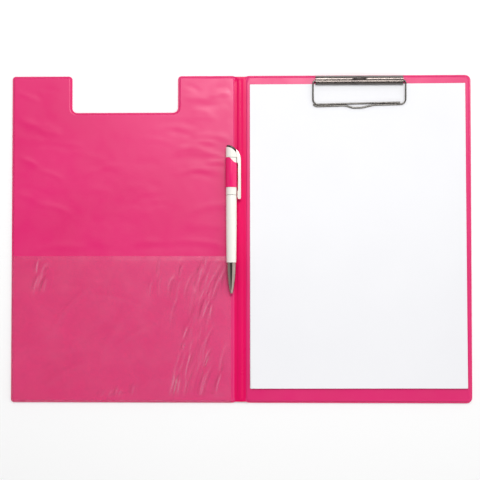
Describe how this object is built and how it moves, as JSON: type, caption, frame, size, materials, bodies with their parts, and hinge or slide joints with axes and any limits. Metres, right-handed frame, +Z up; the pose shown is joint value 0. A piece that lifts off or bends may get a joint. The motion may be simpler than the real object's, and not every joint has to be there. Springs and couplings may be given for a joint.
{
  "type": "clipboard",
  "caption": "Fold-over A4 clipboard lying open, with a soft spine, a notched cover with a clear pocket, a sprung wire clip, paper and a push-button pen in a loop.",
  "frame": {"origin": "on the table under the middle of the spine, the bottom centre of the whole object's box, with the folder lying open", "axes": "+X from the cover towards the back board, +Y along the fold lines towards the clip, +Z up, out of the inside faces"},
  "size_m": [0.45, 0.32, 0.0143],
  "materials": {
    "pink_foil": "satin PVC foil",
    "spine_foil": "glossy PVC foil",
    "greyboard": "raw greyboard",
    "clear_film": "clear soft PVC film",
    "paper": "plain white",
    "chrome": "bright plated",
    "plated_steel": "dull plated",
    "white_plastic": "moulded",
    "dark_plastic": "plated dark",
    "blue_plastic": "moulded",
    "ink_tube": "ink seen through a clear tube",
    "tip_brass": "turned"
  },
  "bodies": {
    "back_board": {"board_outer_foil": "pink_foil", "board_greyboard": "greyboard", "board_inner_foil": "pink_foil", "clip_base_plate": "plated_steel", "clip_channel": "chrome", "clip_torsion_wire": "plated_steel", "clip_rivet_left": "plated_steel", "clip_rivet_right": "plated_steel"},
    "spine": {"spine_outer_foil": "spine_foil", "spine_inner_foil": "spine_foil"},
    "cover": {"cover_outer_foil": "pink_foil", "cover_greyboard": "greyboard", "cover_inner_foil": "pink_foil", "pocket_film": "clear_film"},
    "pen_holder": {"pen_loop": "spine_foil"},
    "pen": {"pen_nozzle": "chrome", "pen_lower_barrel": "white_plastic", "pen_upper_barrel": "white_plastic", "pen_head_with_clip": "white_plastic", "pen_spring": "plated_steel"},
    "pen_push": {"pen_button": "dark_plastic", "pen_thrust_tube": "blue_plastic", "pen_refill_tube": "ink_tube", "pen_refill_tip": "tip_brass"},
    "bail": {"bail_left_wire": "chrome", "bail_right_wire": "chrome"},
    "paper": {"paper_stack": "paper", "paper_top_sheet": "paper"}
  },
  "joints": [
    {"name": "spine_fold", "type": "hinge", "parent": "back_board", "child": "spine", "pos_m": [0.0067, 0, 0.00232], "axis": [0, 1, 0], "range_deg": [-90, 90]},
    {"name": "cover_fold", "type": "hinge", "parent": "spine", "child": "cover", "pos_m": [-0.0067, 0, 0.00232], "axis": [0, 1, 0], "range_deg": [-90, 90]},
    {"name": "loop_shift", "type": "slide", "parent": "cover", "child": "pen_holder", "axis": [-1, 0, 0], "range_m": [-0.0091, 0.0091]},
    {"name": "pen_pull", "type": "slide", "parent": "pen_holder", "child": "pen", "axis": [0, 1, 0], "range_m": [0, 0.135]},
    {"name": "pen_click", "type": "slide", "parent": "pen", "child": "pen_push", "axis": [0, -1, 0], "range_m": [0, 0.002], "stiffness_N_per_m": 300, "springref_m": -0.004, "deforming": ["pen_spring"]},
    {"name": "clip_open", "type": "hinge", "parent": "back_board", "child": "bail", "pos_m": [0.11615, 0.1543, 0.006], "axis": [-1, 0, 0], "range_deg": [0, 100], "stiffness_Nm_per_rad": 0.05, "springref_deg": -57.3},
    {"name": "paper_pull", "type": "slide", "parent": "back_board", "child": "paper", "axis": [0, -1, 0], "range_m": [0, 0.3]}
  ],
  "couplings": [
    {"joint": "loop_shift", "follows": "cover_fold", "m_per_rad": 0.0057296}
  ]
}
